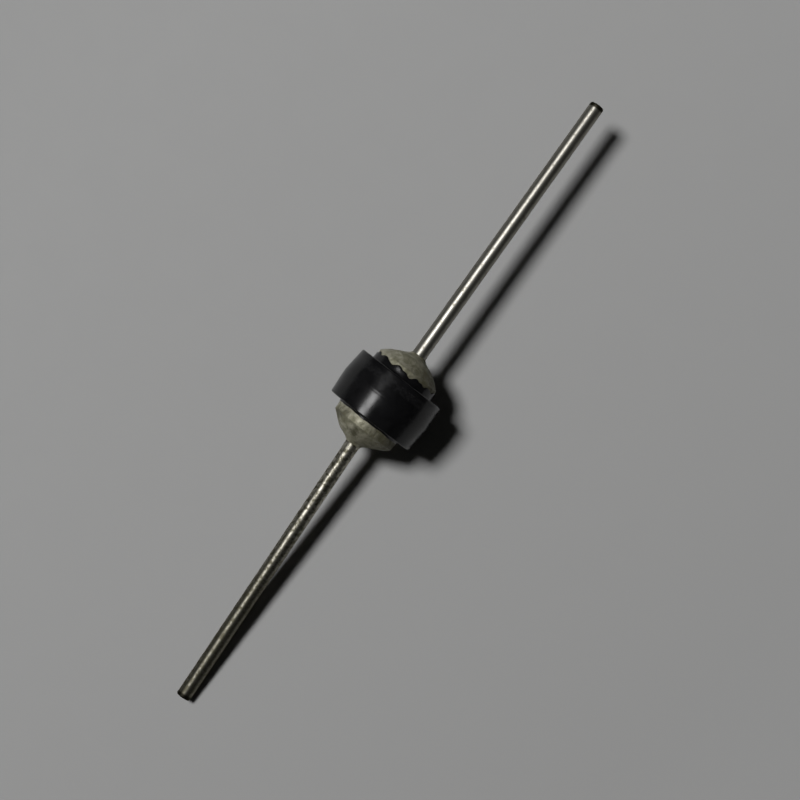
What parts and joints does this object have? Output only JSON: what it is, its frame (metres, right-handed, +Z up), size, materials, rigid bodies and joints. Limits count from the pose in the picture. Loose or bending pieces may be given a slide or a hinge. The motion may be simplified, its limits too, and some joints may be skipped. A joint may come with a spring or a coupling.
{
  "type": "transient voltage suppressor diode",
  "caption": "Axial transient voltage suppressor: a black drafted moulded ring between two soldered round terminals, each with a stout tinned wire lead, lying at rest.",
  "frame": {"origin": "middle of the underside of the part's box, on the surface that it lies on", "axes": "+X along the leads towards the cathode's cut end, +Z up from the surface"},
  "size_m": [0.06, 0.0084, 0.0084],
  "materials": {
    "moulded_ring": "near-black moulded epoxy with a soft gloss and a faint polarity band",
    "terminal": "bare copper",
    "lead_solder": "dull, aged solder",
    "lead": "bright tin plate over copper",
    "silicon": "polished silicon",
    "die_solder": "plain solder",
    "junction_coating": "translucent white silicone"
  },
  "bodies": {
    "root": {"moulded_ring": "moulded_ring", "cathode_terminal": "terminal", "anode_terminal": "terminal", "cathode_lead_solder": "lead_solder", "anode_lead_solder": "lead_solder", "cathode_lead": "lead", "anode_lead": "lead", "silicon_die": "silicon", "cathode_die_solder": "die_solder", "anode_die_solder": "die_solder", "junction_coating": "junction_coating"}
  },
  "joints": []
}
